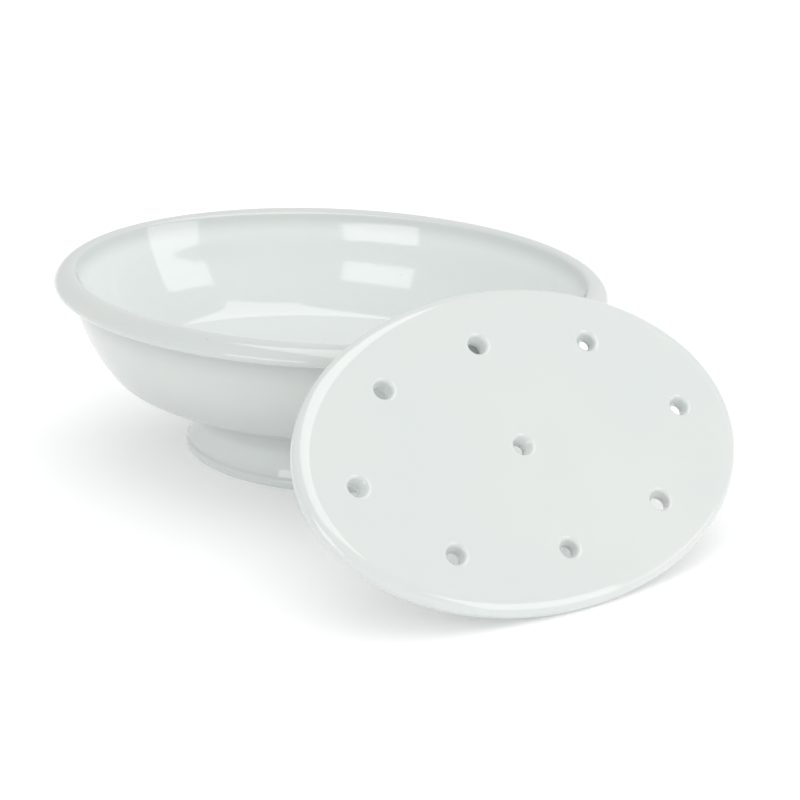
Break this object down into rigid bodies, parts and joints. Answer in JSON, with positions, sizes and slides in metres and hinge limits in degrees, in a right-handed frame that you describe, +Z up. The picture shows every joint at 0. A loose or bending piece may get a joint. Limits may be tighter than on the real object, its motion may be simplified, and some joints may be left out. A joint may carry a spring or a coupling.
{
  "type": "soap dish",
  "caption": "Footed oval porcelain soap dish with a rolled lip, shown with its pierced oval drainer plate leaning against the rim.",
  "frame": {"origin": "centre of the bowl's foot ring, on the floor it stands on", "axes": "+Z up, +X along the bowl's long axis, +Y away from the side the drainer plate leans on"},
  "size_m": [0.1883, 0.1639, 0.061],
  "materials": {
    "glaze_bowl": "glossy white glaze, faintly cool",
    "glaze_plate": "glossy white glaze, faintly cool"
  },
  "bodies": {
    "root": {"bowl": "glaze_bowl", "drainer_plate": "glaze_plate"}
  },
  "joints": []
}
